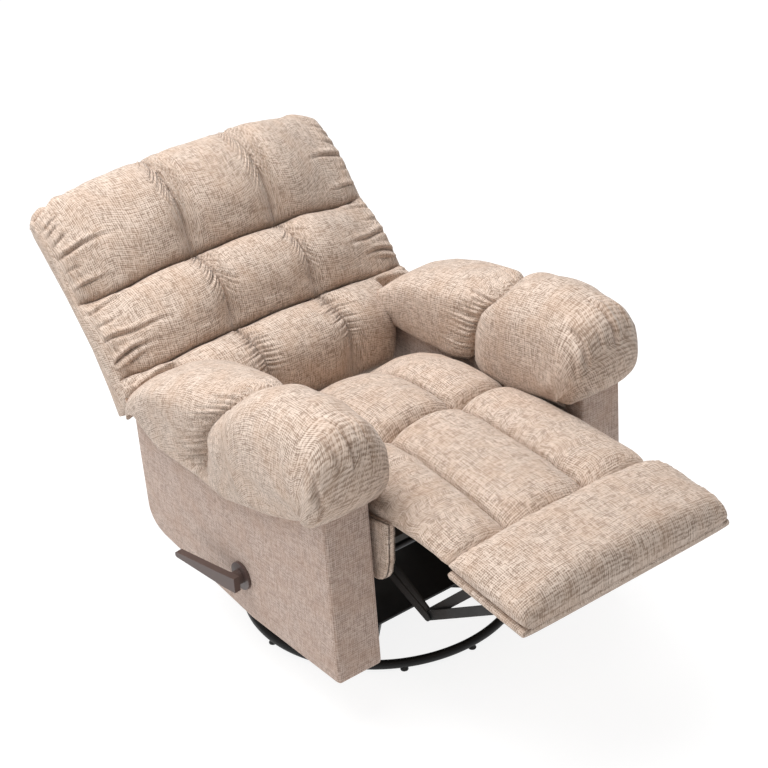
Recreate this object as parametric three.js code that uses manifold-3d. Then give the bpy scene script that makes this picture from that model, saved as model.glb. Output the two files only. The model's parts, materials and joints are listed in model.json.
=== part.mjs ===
// Swivel glider recliner with a fold-out footrest, in its reclined rest position.
// Millimetres, +Z up, +Y towards the back of the chair, +X towards the sitter's left.
import * as THREE from 'three';
import { mergeVertices } from 'three/addons/utils/BufferGeometryUtils.js';
import Module from 'manifold-3d';

const wasm = await Module();
wasm.setup();

// ---------------------------------------------------------------- driving dimensions
const FRAME_SHIFT_Y = 16;         // puts the middle of the whole chair over the origin
const GAP = 0.4;                  // clearance between pieces that touch

const RING_RADIUS = 330;          // swivel base ring, tube centre line
const RING_TUBE = 11;
const RING_HEIGHT = 19;
const FOOT_COUNT = 12;
const BEARING_RADIUS = 90;

const LINK_TOP = [150, 250];      // glider link pivots: |y|, z
const LINK_BOTTOM_Z = 105;
const LINK_HALF_WIDTH = 12;

const ARM_INNER = 298;            // arm panel faces, |x|
const ARM_OUTER = 417;
const PILLOW_INNER = 250;
const PILLOW_OUTER = 466;
const ARM_FRONT = -390;
const ARM_REAR = 346;

const SEAT_HALF = 247;            // between the arm pillows
const SEAT_TOP = 540;
const SEAT_REAR = 184;
const DECK_TOP = 427;

const BACK_HINGE = [330, 400];    // y, z
const BACK_ANGLE = Math.atan2(141, 153);
const BACK_HALF = 415;
const BACK_NARROW = 243;          // lower row, between the arms
const ROW_STEP = 207;
const BACK_TOP = 642;

const FOOT_POLE = [-490, 553];    // fold line of the footrest: y, z
const FOOT_WRAP = 118;            // radius of the seat front about that line
const BOARD_REAR = [-623, 489];   // lower rear edge of the footrest board: y, z
const BOARD_TILT = Math.atan2(26, 219);
const BOARD_LENGTH = 220;
const BOARD_HALF = 286;
const BOARD_THICK = 16;

const LEVER_PIVOT = [-44, 260];   // y, z
const LEVER_REACH = 178;

// ---------------------------------------------------------------- materials
const paint = (color, roughness, metalness) =>
  new THREE.MeshStandardMaterial({ color, roughness, metalness });
const BLACK_STEEL = paint(0x1d1c1c, 0.45, 0.85);
const BARE_STEEL = paint(0x8c8d8e, 0.35, 0.95);
const CUSHION_FABRIC = paint(0xb9a48c, 0.95, 0);
const PANEL_FABRIC = paint(0xb09c8c, 0.95, 0);
const DUST_CLOTH = paint(0x181717, 0.9, 0);
const BROWN_PLASTIC = paint(0x4a3d3a, 0.4, 0);
const FOOT_PLASTIC = paint(0x2a2725, 0.6, 0);
const TIMBER = paint(0xa98d66, 0.8, 0);

const chair = new THREE.Group();
chair.position.y = FRAME_SHIFT_Y;

// ---------------------------------------------------------------- helpers
// Outlines are drawn in the side plane (y, z) and extruded along +X.
const SIDE_PLANE = new THREE.Matrix4().makeBasis(
  new THREE.Vector3(0, 1, 0), new THREE.Vector3(0, 0, 1), new THREE.Vector3(1, 0, 0));

function addMesh(name, geometry, material, parent = chair) {
  const mesh = new THREE.Mesh(geometry, material);
  mesh.name = name;
  parent.add(mesh);
  return mesh;
}

function outline(points) {
  return new THREE.Shape(points.map(([a, b]) => new THREE.Vector2(a, b)));
}

// A flat plate between two x positions.
function plate(shape, xa, xb) {
  const low = Math.min(xa, xb);
  const geometry = new THREE.ExtrudeGeometry(shape, {
    depth: Math.abs(xb - xa), bevelEnabled: false, curveSegments: 6 });
  return geometry.applyMatrix4(SIDE_PLANE).translate(low, 0, 0);
}

// A cushion: the outline carried along X, drawn in towards its middle near both ends.
function cushion(shape, xa, xb, radius) {
  const contour = shape.getPoints(5);
  if (contour[0].distanceTo(contour[contour.length - 1]) < 1e-6) contour.pop();
  if (THREE.ShapeUtils.isClockWise(contour)) contour.reverse();
  const box = new THREE.Box2().setFromPoints(contour);
  const middle = box.getCenter(new THREE.Vector2());
  const size = box.getSize(new THREE.Vector2());
  const steps = 3;
  const low = Math.min(xa, xb);
  const high = Math.max(xa, xb);
  const stations = [];
  for (let i = 0; i <= steps; i += 1) {
    const turn = (i / steps) * Math.PI / 2;
    stations.push({ x: radius * (1 - Math.cos(turn)), inset: radius * (1 - Math.sin(turn)) });
  }
  const rings = [
    ...stations.map(({ x, inset }) => ({ x: low + x, inset })),
    ...stations.toReversed().map(({ x, inset }) => ({ x: high - x, inset }))];
  const count = contour.length;
  const positions = [];
  for (const { x, inset } of rings) {
    for (const point of contour) {
      positions.push(x,
        middle.x + (point.x - middle.x) * (1 - 2 * inset / size.x),
        middle.y + (point.y - middle.y) * (1 - 2 * inset / size.y));
    }
  }
  const faces = [];
  for (let ring = 0; ring + 1 < rings.length; ring += 1) {
    for (let i = 0; i < count; i += 1) {
      const next = (i + 1) % count;
      const [a, b] = [ring * count + i, ring * count + next];
      faces.push(a, b, b + count, a, b + count, a + count);
    }
  }
  const last = (rings.length - 1) * count;
  for (const [a, b, c] of THREE.ShapeUtils.triangulateShape(contour, [])) {
    faces.push(a, c, b, last + a, last + b, last + c);
  }
  const geometry = new THREE.BufferGeometry();
  geometry.setAttribute('position', new THREE.Float32BufferAttribute(positions, 3));
  geometry.setIndex(faces);
  geometry.computeVertexNormals();
  return geometry;
}

// A rectangle with rounded corners, from (y0, z0) to (y1, z1).
function roundRect(y0, z0, y1, z1, r) {
  const shape = new THREE.Shape();
  shape.moveTo(y0 + r, z0);
  shape.lineTo(y1 - r, z0);
  shape.absarc(y1 - r, z0 + r, r, -Math.PI / 2, 0, false);
  shape.absarc(y1 - r, z1 - r, r, 0, Math.PI / 2, false);
  shape.absarc(y0 + r, z1 - r, r, Math.PI / 2, Math.PI, false);
  shape.absarc(y0 + r, z0 + r, r, Math.PI, 1.5 * Math.PI, false);
  return shape;
}

function block(x0, x1, y0, y1, z0, z1) {
  return new THREE.BoxGeometry(Math.abs(x1 - x0), y1 - y0, z1 - z0)
    .translate((x0 + x1) / 2, (y0 + y1) / 2, (z0 + z1) / 2);
}

// A round bar along X.
function barX(xa, xb, y, z, radius, sides = 14) {
  return new THREE.CylinderGeometry(radius, radius, Math.abs(xb - xa), sides)
    .rotateZ(Math.PI / 2).translate((xa + xb) / 2, y, z);
}

// A flat link with round ends between two pivots (y, z).
function linkShape(a, b, halfWidth) {
  const angle = Math.atan2(b[1] - a[1], b[0] - a[0]);
  const shape = new THREE.Shape();
  shape.absarc(a[0], a[1], halfWidth, angle + Math.PI / 2, angle + 1.5 * Math.PI, false);
  shape.absarc(b[0], b[1], halfWidth, angle - Math.PI / 2, angle + Math.PI / 2, false);
  return shape;
}

function solid(geometry) {
  const bare = geometry.clone();
  bare.deleteAttribute('normal');
  bare.deleteAttribute('uv');
  const merged = mergeVertices(bare, 1e-4);
  return new wasm.Manifold(new wasm.Mesh({
    numProp: 3,
    vertProperties: new Float32Array(merged.attributes.position.array),
    triVerts: new Uint32Array(merged.index.array) }));
}

function fromSolid(manifold) {
  const { vertProperties, triVerts } = manifold.getMesh();
  const geometry = new THREE.BufferGeometry();
  geometry.setAttribute('position', new THREE.BufferAttribute(vertProperties, 3));
  geometry.setIndex(new THREE.BufferAttribute(triVerts, 1));
  geometry.computeVertexNormals();
  return geometry;
}

const join = (...pieces) => fromSolid(pieces.map(solid).reduce((a, b) => a.add(b)));
const cut = (piece, ...tools) => fromSolid(tools.map(solid).reduce((a, b) => a.subtract(b), solid(piece)));

const SIDES = [['left', 1], ['right', -1]];

// ---------------------------------------------------------------- swivel base
function buildBase() {
  addMesh('base_ring', new THREE.TorusGeometry(RING_RADIUS, RING_TUBE, 10, 60)
    .translate(0, 0, RING_HEIGHT), BLACK_STEEL);

  const barBottom = 11;
  const barTop = 30;
  const reach = RING_RADIUS - RING_TUBE - 4 * GAP;
  const bar = () => block(-reach, reach, -15, 15, barBottom, barTop);
  const hub = new THREE.CylinderGeometry(BEARING_RADIUS, BEARING_RADIUS, barTop - barBottom, 36)
    .rotateX(Math.PI / 2).translate(0, 0, (barBottom + barTop) / 2);
  addMesh('base_cross', join(bar().rotateZ(Math.PI / 4), bar().rotateZ(-Math.PI / 4), hub), BLACK_STEEL);

  addMesh('bearing_lower', bearingRace(barTop + GAP, 42), BARE_STEEL);

  for (let i = 0; i < FOOT_COUNT; i += 1) {
    const foot = new THREE.Group();
    foot.rotation.z = (i / FOOT_COUNT) * 2 * Math.PI;
    chair.add(foot);
    const number = String(i + 1).padStart(2, '0');
    const pad = block(RING_RADIUS - 10, RING_RADIUS + 10, -10, 10, 0, RING_HEIGHT - RING_TUBE - GAP);
    addMesh(`glide_foot_${number}`, pad, FOOT_PLASTIC, foot);
  }
}

// A flat ring race of the swivel bearing.
function bearingRace(bottom, top) {
  const inner = 45;
  const outer = BEARING_RADIUS - 4;
  const profile = [[inner, bottom], [outer, bottom], [outer, top], [inner, top], [inner, bottom]];
  return new THREE.LatheGeometry(profile.map(([r, z]) => new THREE.Vector2(r, z)), 24)
    .rotateX(Math.PI / 2);
}

// ---------------------------------------------------------------- swivel frame and glider links
const BRACKET_X = [200, 206];
const LINK_X = [212, 217];
const HANGER_X = [222, 228];
const PLATE_Z = [54.6, 60];

function buildSwivel() {
  addMesh('bearing_upper', bearingRace(42.6, PLATE_Z[0] - GAP), BARE_STEEL);

  const base = block(-BRACKET_X[1], BRACKET_X[1], -175, 175, PLATE_Z[0], PLATE_Z[1]);
  const yoke = outline([
    [-175, PLATE_Z[0]], [175, PLATE_Z[0]], [172, 264], [128, 264],
    [108, 112], [-108, 112], [-128, 264], [-172, 264]]);
  addMesh('swivel_frame', join(base,
    plate(yoke, BRACKET_X[0], BRACKET_X[1]),
    plate(yoke, -BRACKET_X[0], -BRACKET_X[1])), BLACK_STEEL);

  for (const [side, sign] of SIDES) {
    for (const [end, y] of [['front', -LINK_TOP[0]], ['rear', LINK_TOP[0]]]) {
      const bar = plate(linkShape([y, LINK_TOP[1]], [y, LINK_BOTTOM_Z], LINK_HALF_WIDTH),
        sign * LINK_X[0], sign * LINK_X[1]);
      const upper = barX(sign * (BRACKET_X[1] + GAP), sign * (LINK_X[0] + 1), y, LINK_TOP[1], 9);
      const lower = barX(sign * (LINK_X[1] - 1), sign * (HANGER_X[0] - GAP), y, LINK_BOTTOM_Z, 9);
      addMesh(`glide_link_${end}_${side}`, join(bar, upper, lower), BLACK_STEEL);
    }
  }
}

// ---------------------------------------------------------------- body: glide frame and arms
function armPanelShape() {
  const bottom = 149;
  const heel = [-62, bottom];
  const rearBottom = [319, 207];
  const top = 500;
  const shape = new THREE.Shape();
  shape.moveTo(ARM_FRONT, bottom);
  shape.lineTo(heel[0], heel[1]);
  shape.lineTo(rearBottom[0] - 20, rearBottom[1] - 3);
  shape.quadraticCurveTo(rearBottom[0] + 22, rearBottom[1] + 4, ARM_REAR - 3, rearBottom[1] + 55);
  shape.lineTo(ARM_REAR, top);
  shape.lineTo(ARM_FRONT, top);
  return shape;
}

// Side outline of the arm pillow: a tall front puff and a lower rear puff.
function armPillowShape() {
  const shape = new THREE.Shape();
  shape.moveTo(-425, 501);
  shape.lineTo(ARM_REAR, 501);
  shape.quadraticCurveTo(ARM_REAR + 6, 640, 300, 680);
  shape.quadraticCurveTo(200, 712, 60, 720);
  shape.quadraticCurveTo(0, 726, -50, 750);
  shape.quadraticCurveTo(-150, 800, -290, 782);
  shape.quadraticCurveTo(-440, 750, -440, 610);
  shape.quadraticCurveTo(-440, 540, -425, 501);
  return shape;
}

function buildBody() {
  for (const [side, sign] of SIDES) {
    addMesh(`arm_panel_${side}`,
      plate(armPanelShape(), sign * ARM_INNER, sign * ARM_OUTER), PANEL_FABRIC);
    addMesh(`arm_pillow_${side}`,
      cushion(armPillowShape(), sign * PILLOW_INNER, sign * PILLOW_OUTER, 34), CUSHION_FABRIC);

    // Steel angle inside the arm that the seat box slides on.
    const wall = ARM_INNER - GAP;
    const [front, rear] = [-320, 250];
    addMesh(`slide_angle_${side}`, join(
      block(sign * (wall - 5), sign * wall, front, rear, 300, 410),
      block(sign * 262, sign * (wall - 1), front, rear, 350, 356)), BLACK_STEEL);
  }

  const tubeZ = 158;
  const tubeRadius = 9.5;
  const tubeEnd = ARM_INNER - GAP;
  const hanger = outline([
    [-176, LINK_BOTTOM_Z + 8], [-168, 91], [-132, 91], [-118, 140], [118, 140], [132, 91],
    [168, 91], [180, 140], [250, 146], [250, 168], [-176, 168]]);
  addMesh('glide_frame', join(
    plate(hanger, HANGER_X[0], HANGER_X[1]),
    plate(hanger, -HANGER_X[0], -HANGER_X[1]),
    barX(-tubeEnd, tubeEnd, -45, tubeZ, tubeRadius),
    barX(-tubeEnd, tubeEnd, 236, tubeZ, tubeRadius)), BLACK_STEEL);

  const [y, z] = LEVER_PIVOT;
  addMesh('lever_escutcheon', barX(-ARM_OUTER - GAP, -ARM_OUTER - 7, y, z, 34, 24), BROWN_PLASTIC);
}

// ---------------------------------------------------------------- seat box
const MECH_X = [250, 256];

function buildSeat() {
  const rail = outline([
    [-418, 404], [-412, 392], [-357, 358], [345, 358], [345, 415], [250, 427],
    [-418, 427]]);
  for (const [side, sign] of SIDES) {
    addMesh(`seat_rail_${side}`, plate(rail, sign * 262, sign * 286), TIMBER);
    const mech = outline([
      [-362, 411], [-362, 370], [-338, 352], [-255, 362], [-180, 385], [-180, 411]]);
    addMesh(`mechanism_plate_${side}`, plate(mech, sign * MECH_X[0], sign * MECH_X[1]), BLACK_STEEL);
  }
  addMesh('seat_deck', block(-261, 261, -360, SEAT_REAR - 8, 411 + GAP, DECK_TOP), TIMBER);
  addMesh('dust_panel', block(-225, 225, -172, -169, 276, 411), DUST_CLOTH);
  addMesh('drive_rod', barX(GAP - SHORT_ARM.armX[0], SHORT_ARM.armX[0] - GAP, ...SHORT_ARM.pivot, 7), BARE_STEEL);

  const channelJoint = -330;
  addMesh('seat_cushion', cushion(
    roundRect(channelJoint + 1, DECK_TOP + 1, SEAT_REAR, SEAT_TOP, 30),
    -SEAT_HALF, SEAT_HALF, 26), CUSHION_FABRIC);

  // Chaise pad: its front is an arc about the fold line, so the footrest clears it.
  const [poleY, poleZ] = FOOT_POLE;
  const chaise = new THREE.Shape();
  const startAngle = Math.PI + Math.asin((poleZ - SEAT_TOP) / FOOT_WRAP);
  chaise.moveTo(channelJoint - 1, DECK_TOP + 8);
  chaise.lineTo(channelJoint - 1, SEAT_TOP);
  chaise.lineTo(poleY + FOOT_WRAP * Math.cos(startAngle), SEAT_TOP);
  chaise.absarc(poleY, poleZ, FOOT_WRAP, startAngle, 1.5 * Math.PI, false);
  addMesh('chaise_pad', plate(chaise, -SEAT_HALF, SEAT_HALF), CUSHION_FABRIC);
}

// ---------------------------------------------------------------- backrest
// The group's own +Y runs up the back and +Z out of its front.
function buildBack() {
  const back = new THREE.Group();
  back.position.set(0, BACK_HINGE[0], BACK_HINGE[1]);
  back.rotation.x = BACK_ANGLE;
  chair.add(back);

  const shoulder = 192;
  const face = 5;
  const rear = -45;
  addMesh('back_shell', join(
    block(-249, 249, -40, shoulder + 5, rear, face),
    block(-BACK_HALF + 10, BACK_HALF - 10, shoulder, BACK_TOP - 14, rear, face)), PANEL_FABRIC, back);

  // Each row is a bolster; the two wide rows stand further forward between the arms.
  const low = -18;
  const rowGap = 4;
  const bolster = (row, half, front) => {
    const from = low + row * ROW_STEP;
    const to = row === 2 ? BACK_TOP : from + ROW_STEP - rowGap;
    return cushion(roundRect(from, face + 2, to, front, 34), -half, half, 30);
  };
  addMesh('back_cushion_lower', bolster(0, BACK_NARROW, 140), CUSHION_FABRIC, back);
  addMesh('back_cushion_middle', join(bolster(1, BACK_HALF, 132), bolster(1, BACK_NARROW, 182)),
    CUSHION_FABRIC, back);
  addMesh('back_cushion_top', join(bolster(2, BACK_HALF, 146), bolster(2, BACK_NARROW, 178)),
    CUSHION_FABRIC, back);

  const ear = outline([[-16, -20], [16, -20], [60, -38], [180, -38], [180, -2], [40, 2], [12, 20], [-16, 16]]);
  for (const [side, sign] of SIDES) {
    addMesh(`back_bracket_${side}`, join(
      plate(ear, sign * MECH_X[0], sign * MECH_X[1]),
      barX(sign * (MECH_X[1] - 1), sign * (262 - GAP), 0, 0, 11)), BLACK_STEEL, back);
  }
}

// ---------------------------------------------------------------- footrest and its linkage
// The group's -Y runs forward along the board, and +Z out of its padded face.
const FOOT_BRACKET_X = [236, 240];
const SHORT_ARM = { pivot: [-330, 375], onBoard: [-20, -42], arm: 168, link: 220, armX: [226, 230], linkX: [231, 235] };
const LONG_ARM = { pivot: [-280, 390], onBoard: [-90, -42], arm: 228, link: 254, armX: [245.6, 249.4], linkX: [241, 244.6] };

function boardToChair([y, z]) {
  const cos = Math.cos(BOARD_TILT);
  const sin = Math.sin(BOARD_TILT);
  return [BOARD_REAR[0] + y * cos - z * sin, BOARD_REAR[1] + y * sin + z * cos];
}

// The lower pivot where an arm from the seat meets its link from the board.
function elbow({ pivot, onBoard, arm, link }) {
  const end = boardToChair(onBoard);
  const span = Math.hypot(end[0] - pivot[0], end[1] - pivot[1]);
  const bearing = Math.atan2(end[1] - pivot[1], end[0] - pivot[0]);
  const angle = bearing + Math.acos((arm ** 2 + span ** 2 - link ** 2) / (2 * arm * span));
  return [pivot[0] + arm * Math.cos(angle), pivot[1] + arm * Math.sin(angle)];
}

function buildFootrest() {
  const rest = new THREE.Group();
  rest.position.set(0, BOARD_REAR[0], BOARD_REAR[1]);
  rest.rotation.x = BOARD_TILT;
  chair.add(rest);

  addMesh('footrest_board', block(-BOARD_HALF, BOARD_HALF, -BOARD_LENGTH, 0, 0, BOARD_THICK), PANEL_FABRIC, rest);
  addMesh('footrest_pad', cushion(
    roundRect(-BOARD_LENGTH - 18, BOARD_THICK + GAP, 12, BOARD_THICK + 32, 10),
    -BOARD_HALF, BOARD_HALF, 10), CUSHION_FABRIC, rest);

  const bracket = outline([[-150, -GAP], [-120, -50], [-90, -56], [-20, -56], [-4, -42], [-4, -GAP]]);
  for (const [side, sign] of SIDES) {
    addMesh(`footrest_bracket_${side}`,
      plate(bracket, sign * FOOT_BRACKET_X[0], sign * FOOT_BRACKET_X[1]), BLACK_STEEL, rest);
    for (const [label, set] of [['short', SHORT_ARM], ['long', LONG_ARM]]) {
      const joint = elbow(set);
      addMesh(`footrest_arm_${label}_${side}`,
        plate(linkShape(set.pivot, joint, 11), sign * set.armX[0], sign * set.armX[1]), BLACK_STEEL);
      addMesh(`footrest_link_${label}_${side}`,
        plate(linkShape(boardToChair(set.onBoard), joint, 11), sign * set.linkX[0], sign * set.linkX[1]),
        BLACK_STEEL);
    }
  }
}

// ---------------------------------------------------------------- release lever
function buildLever() {
  const [y, z] = LEVER_PIVOT;
  const rootHalf = 19;
  const tipHalf = 7;
  const rootEnd = y - 22;
  const tipEnd = y + LEVER_REACH;
  const [inner, outer] = [-442, -459];
  const lean = THREE.MathUtils.degToRad(-8);
  const grip = outline([
    [rootEnd, z - rootHalf], [y + 20, z - rootHalf], [tipEnd - 4, z - tipHalf], [tipEnd, z - tipHalf + 3],
    [tipEnd, z + tipHalf - 3], [tipEnd - 4, z + tipHalf], [y + 20, z + rootHalf - 3], [rootEnd, z + rootHalf]]);
  const arm = plate(grip, outer, inner).translate(-inner, -y, 0).rotateZ(-lean).translate(inner, y, 0);
  const hub = barX(-ARM_OUTER - 7 - GAP, inner - 6, y, z, 17, 20);
  addMesh('recline_lever', join(hub, arm), BROWN_PLASTIC);
}

buildBase();
buildSwivel();
buildBody();
buildSeat();
buildBack();
buildFootrest();
buildLever();

export default chair;
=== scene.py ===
"""Swivel glider recliner: upholstery, materials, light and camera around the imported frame.

Lengths are in metres in the row frame: +Z up, the chair faces -Y, its right arm is at -X.
"""
import json
import math

import bpy
import numpy as np
from mathutils import Matrix, Vector


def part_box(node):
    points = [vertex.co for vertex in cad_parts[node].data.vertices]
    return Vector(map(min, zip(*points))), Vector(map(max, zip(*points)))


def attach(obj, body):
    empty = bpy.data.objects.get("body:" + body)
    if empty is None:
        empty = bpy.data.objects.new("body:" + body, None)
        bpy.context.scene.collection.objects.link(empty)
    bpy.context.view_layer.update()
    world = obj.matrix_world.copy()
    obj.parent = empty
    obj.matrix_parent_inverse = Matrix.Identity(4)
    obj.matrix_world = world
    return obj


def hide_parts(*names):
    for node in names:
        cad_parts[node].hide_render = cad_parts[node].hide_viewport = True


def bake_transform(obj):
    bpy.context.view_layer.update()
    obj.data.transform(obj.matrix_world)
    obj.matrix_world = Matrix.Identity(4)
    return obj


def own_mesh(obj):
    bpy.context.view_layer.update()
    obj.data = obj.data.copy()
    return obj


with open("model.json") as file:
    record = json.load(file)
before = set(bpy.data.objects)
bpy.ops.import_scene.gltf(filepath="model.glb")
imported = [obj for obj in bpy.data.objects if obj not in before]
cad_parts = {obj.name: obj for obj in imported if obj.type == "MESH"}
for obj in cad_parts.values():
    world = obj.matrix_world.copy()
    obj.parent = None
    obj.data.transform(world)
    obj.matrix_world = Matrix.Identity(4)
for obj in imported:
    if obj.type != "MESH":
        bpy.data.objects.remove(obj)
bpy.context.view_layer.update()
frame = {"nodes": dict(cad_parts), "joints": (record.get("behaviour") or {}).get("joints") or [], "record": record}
NODES = frame["nodes"]
JOINTS = {j["name"]: j for j in frame["joints"]}
RNG = np.random.default_rng(7)

# ---------------------------------------------------------------- places read from the frame
BASE_Y = sum(c.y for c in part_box("base_ring")) / 2        # ring centre, and zero of the y values below
HINGE = np.array(JOINTS["back_recline"]["pos_m"])
POLE = np.array(JOINTS["footrest_fold"]["pos_m"])
LEVER = np.array(JOINTS["lever_turn"]["pos_m"])
ARM_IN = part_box("arm_panel_left")[0].x
ARM_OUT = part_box("arm_panel_left")[1].x
ARM_LOW, ARM_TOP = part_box("arm_panel_left")[0].z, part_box("arm_panel_left")[1].z
ARM_FRONT, ARM_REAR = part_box("arm_panel_left")[0].y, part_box("arm_panel_left")[1].y
BOARD_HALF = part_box("footrest_board")[1].x

BACK_ANGLE = math.atan2(141, 153)                           # backrest above the horizontal
BOARD_ANGLE = math.atan2(26, 219)
COLUMN = 0.120                                              # column seams of the backrest, |x|
CHANNEL = 0.101                                             # channel seams of the seat, |x|


# ---------------------------------------------------------------- small helpers
def smooth(t):
    t = np.clip(t, 0.0, 1.0)
    return t * t * (3 - 2 * t)


def wobble(t, seed, octaves=4):
    """Smooth pseudo-random wave of about +-1, one period of its base frequency per unit of t."""
    rng = np.random.default_rng(seed)
    value = np.zeros_like(np.asarray(t, float))
    total = 0.0
    for k in range(octaves):
        amp = 0.7 ** k
        value = value + amp * np.sin(2 * math.pi * (t * (1.0 + 0.73 * k) + rng.random()))
        total += amp
    return value / total


def cell_arc(x, seams):
    """1 in the middle of a column and 0 on its seams."""
    seams = np.asarray(seams)
    i = np.clip(np.searchsorted(seams, x) - 1, 0, len(seams) - 2)
    lo, hi = seams[i], seams[i + 1]
    s = (2 * x - lo - hi) / (hi - lo)
    return np.clip(1 - np.abs(s) ** 2.1, 0, 1) ** 0.50


def stations(lo, hi, step, dense, reach=0.030, ratio=0.42):
    """Positions from lo to hi, closer together near the places in dense."""
    values = [lo]
    while values[-1] < hi:
        near = min(abs(values[-1] - d) for d in dense)
        values.append(values[-1] + (step * ratio if near < reach else step))
    values[-1] = hi
    return np.array(values)


def gathers(along, dist, seed, pitch=0.016, reach=0.026, height=0.0030):
    """Puffy ridges with sharp creases that run away from a gathered seam."""
    rng = np.random.default_rng(seed)
    phase = along / pitch + 0.40 * wobble(along / 0.07, seed) + 0.22 * wobble(along / 0.023, seed + 1)
    index = np.floor(phase).astype(int) % 400
    size = 0.45 + 0.75 * rng.random(400)[index]
    span = reach * (0.55 + 0.9 * rng.random(400)[index])
    ridge = 1.6 * np.abs(np.sin(math.pi * phase)) ** 0.75 - 1.0
    return height * size * ridge * (1 - np.exp(-dist / 0.0035)) * np.exp(-(dist / span) ** 1.5)


def new_object(name, verts, faces, uvs=None):
    mesh = bpy.data.meshes.new(name)
    mesh.from_pydata([tuple(v) for v in verts], [], [tuple(f) for f in faces])
    if uvs is not None:
        layer = mesh.uv_layers.new(name="weave")
        loops = np.zeros(len(mesh.loops), int)
        mesh.loops.foreach_get("vertex_index", loops)
        layer.data.foreach_set("uv", np.asarray(uvs, float)[loops].ravel())
    mesh.update()
    for polygon in mesh.polygons:
        polygon.use_smooth = True
    obj = bpy.data.objects.new(name, mesh)
    bpy.context.scene.collection.objects.link(obj)
    return obj


def loft(name, rings, flat=None):
    """Closed body through rings of points, shape (rings, points, 3), closed by a fan at each end.

    The weave runs along the rings, or straight over the two axes in flat for board-like pieces.
    """
    rings = np.asarray(rings, float)
    count, around = rings.shape[:2]
    verts = rings.reshape(-1, 3).tolist()
    along = np.linalg.norm(np.diff(rings, axis=0), axis=2)
    v_len = np.concatenate([[0.0], np.cumsum(np.median(along, axis=1))])
    step = np.linalg.norm(np.roll(rings, -1, axis=1) - rings, axis=2)
    u_len = np.cumsum(step, axis=1) - step
    u_len = u_len - u_len[:, around // 4][:, None]
    uvs = np.stack([u_len, np.repeat(v_len[:, None], around, axis=1)], axis=2).reshape(-1, 2).tolist()
    faces = []
    for i in range(count - 1):
        for j in range(around):
            k = (j + 1) % around
            faces.append((i * around + j, i * around + k, (i + 1) * around + k, (i + 1) * around + j))
    for end in (0, count - 1):
        centre = len(verts)
        verts.append(rings[end].mean(axis=0).tolist())
        uvs.append([0.0, v_len[end]])
        for j in range(around):
            k = (j + 1) % around
            pair = (end * around + k, end * around + j) if end == 0 else (end * around + j, end * around + k)
            faces.append((*pair, centre))
    obj = new_object(name, verts, faces, uvs)
    if flat:
        box_weave(obj)
    return make_outward(obj)


def box_weave(obj):
    """Lays the weave straight on each face of a board-like piece, by the way the face looks."""
    layer = obj.data.uv_layers["weave"].data
    for polygon in obj.data.polygons:
        size = [abs(c) for c in polygon.normal]
        skip = size.index(max(size))
        keep = [k for k in (0, 1, 2) if k != skip]
        for loop in polygon.loop_indices:
            point = obj.data.vertices[obj.data.loops[loop].vertex_index].co
            layer[loop].uv = (point[keep[0]], point[keep[1]])


def make_outward(obj):
    """Turns the faces over if the closed mesh encloses a negative volume."""
    volume = 0.0
    points = [v.co for v in obj.data.vertices]
    for polygon in obj.data.polygons:
        ids = polygon.vertices
        for i in range(1, len(ids) - 1):
            volume += points[ids[0]].dot(points[ids[i]].cross(points[ids[i + 1]]))
    if volume < 0:
        obj.data.flip_normals()
    return obj


def finish_piece(obj, body, material, replaced=(), levels=0):
    if levels:
        modifier = obj.modifiers.new("round", "SUBSURF")
        modifier.levels = modifier.render_levels = levels
    obj.data.materials.clear()
    obj.data.materials.append(material)
    if isinstance(body, str):
        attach(obj, body)
    if replaced:
        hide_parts(*replaced)
    return obj


def superloop(n, half_a, half_b, power):
    """Closed loop of a superellipse, spaced evenly along its length."""
    t = np.linspace(0, 2 * math.pi, 721)
    ca, sa = np.cos(t), np.sin(t)
    a = half_a * np.sign(ca) * np.abs(ca) ** (2 / power)
    b = half_b * np.sign(sa) * np.abs(sa) ** (2 / power)
    length = np.concatenate([[0], np.cumsum(np.hypot(np.diff(a), np.diff(b)))])
    want = np.linspace(0, length[-1], n, endpoint=False)
    return np.interp(want, length, a), np.interp(want, length, b)


def back_point(x, u, n):
    """Backrest frame to the row frame: u runs up the back, n out of its front."""
    c, s = math.cos(BACK_ANGLE), math.sin(BACK_ANGLE)
    return np.stack(np.broadcast_arrays(x, HINGE[1] + u * c - n * s, HINGE[2] + u * s + n * c), axis=-1)


# ---------------------------------------------------------------- materials
def shader(name):
    material = bpy.data.materials.new(name)
    material.use_nodes = True
    tree = material.node_tree
    return material, tree, tree.nodes["Principled BSDF"]


def node(tree, kind, inputs=None, **settings):
    made = tree.nodes.new(kind)
    for key, value in settings.items():
        setattr(made, key, value)
    for key, value in (inputs or {}).items():
        if isinstance(value, bpy.types.NodeSocket):
            tree.links.new(value, made.inputs[key])
        else:
            made.inputs[key].default_value = value
    return made


def math_node(tree, operation, a, b=None, clamp=False):
    made = node(tree, "ShaderNodeMath", operation=operation, use_clamp=clamp)
    for i, value in enumerate((a, b)):
        if value is None:
            continue
        if isinstance(value, bpy.types.NodeSocket):
            tree.links.new(value, made.inputs[i])
        else:
            made.inputs[i].default_value = value
    return made.outputs[0]


def streaks(tree, uv, across, along, seed, detail=2.0, turned=False):
    """Noise drawn out into threads: across and along are cycles per metre."""
    scale = (along, across, 1.0) if turned else (across, along, 1.0)
    mapped = node(tree, "ShaderNodeMapping", {"Vector": uv, "Scale": scale, "Location": (seed, seed * 2.3, 0)})
    noise = node(tree, "ShaderNodeTexNoise", {"Vector": mapped.outputs[0], "Scale": 1.0, "Detail": detail,
                                              "Roughness": 0.6}, noise_dimensions="2D")
    return noise.outputs["Fac"]


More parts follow.
